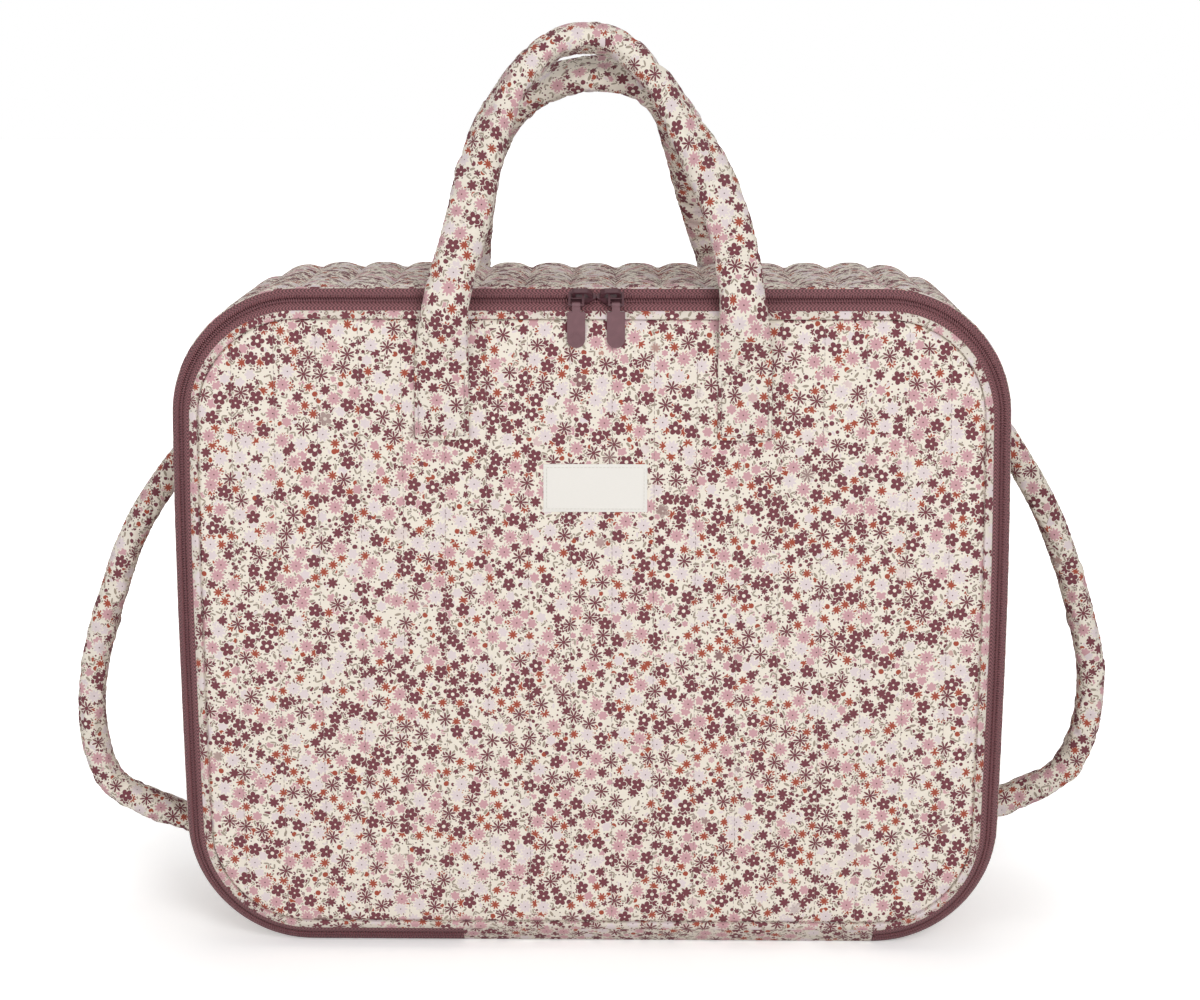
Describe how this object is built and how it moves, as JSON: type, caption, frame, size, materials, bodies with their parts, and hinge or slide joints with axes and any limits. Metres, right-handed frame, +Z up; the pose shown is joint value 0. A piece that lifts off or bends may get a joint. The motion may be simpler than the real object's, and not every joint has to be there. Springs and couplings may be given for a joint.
{
  "type": "soft quilted suitcase",
  "caption": "Soft quilted suitcase with a zipped front lid, padded top handles, padded side handles and zip pulls.",
  "frame": {"origin": "on the floor under the middle of the body, where the case stands", "axes": "+Z up, +X to the right and -Y to the front, seen from the side of the lid"},
  "size_m": [0.6461, 0.1914, 0.5508],
  "materials": {
    "quilted_cover": "matte printed cotton, quilted",
    "handle_cover": "matte printed cotton, padded",
    "foam": "soft open-cell foam sheet",
    "lining": "smooth plain lining cloth",
    "trim_cloth": "matte printed cotton",
    "binding_tape": "ribbed binding tape",
    "zip_tape": "woven twill tape",
    "zip_coil": "satin coil",
    "label_cloth": "smooth woven label",
    "zip_slider": "satin paint",
    "zip_pull": "satin paint"
  },
  "bodies": {
    "shell": {"gusset_cover": "quilted_cover", "gusset_foam": "foam", "gusset_lining": "lining", "rear_panel": "quilted_cover", "rear_foam": "foam", "rear_lining": "lining", "seam_binding_back": "binding_tape", "gusset_edge_strip": "trim_cloth", "seam_binding_rear": "binding_tape", "zip_tape_rear": "zip_tape", "zip_coil_rear": "zip_coil", "hinge_strip": "trim_cloth", "rear_handle": "handle_cover", "side_handle_left": "handle_cover", "side_handle_right": "handle_cover"},
    "lid": {"front_panel": "quilted_cover", "front_foam": "foam", "front_lining": "lining", "front_border": "trim_cloth", "zip_tape_front": "zip_tape", "zip_coil_front": "zip_coil", "seam_binding_front": "binding_tape", "label": "label_cloth", "front_handle": "handle_cover"},
    "slider_left": {"zip_slider_left": "zip_slider"},
    "slider_right": {"zip_slider_right": "zip_slider"},
    "link_left": {"pull_link_left": "zip_slider"},
    "link_right": {"pull_link_right": "zip_slider"},
    "tab_left": {"pull_tab_left": "zip_pull"},
    "tab_right": {"pull_tab_right": "zip_pull"}
  },
  "joints": [
    {"name": "lid_hinge", "type": "hinge", "parent": "shell", "child": "lid", "pos_m": [0, -0.07394, 0.00422], "axis": [1, 0, 0], "range_deg": [0, 180], "deforming": ["hinge_strip"]},
    {"name": "slider_left_slide", "type": "slide", "parent": "lid", "child": "slider_left", "axis": [-1, 0, 0], "range_m": [0, 0.05]},
    {"name": "slider_right_slide", "type": "slide", "parent": "lid", "child": "slider_right", "axis": [1, 0, 0], "range_m": [0, 0.05]},
    {"name": "link_left_swing", "type": "hinge", "parent": "slider_left", "child": "link_left", "pos_m": [-0.00845, -0.07613, 0.39947], "axis": [1, 0, 0], "range_deg": [-20, 0]},
    {"name": "link_right_swing", "type": "hinge", "parent": "slider_right", "child": "link_right", "pos_m": [0.01445, -0.07613, 0.39947], "axis": [1, 0, 0], "range_deg": [-20, 0]},
    {"name": "tab_left_swing", "type": "hinge", "parent": "link_left", "child": "tab_left", "pos_m": [-0.00845, -0.08125, 0.39332], "axis": [1, 0, 0], "range_deg": [-175, 0]},
    {"name": "tab_right_swing", "type": "hinge", "parent": "link_right", "child": "tab_right", "pos_m": [0.01445, -0.08125, 0.39332], "axis": [1, 0, 0], "range_deg": [-175, 0]}
  ]
}
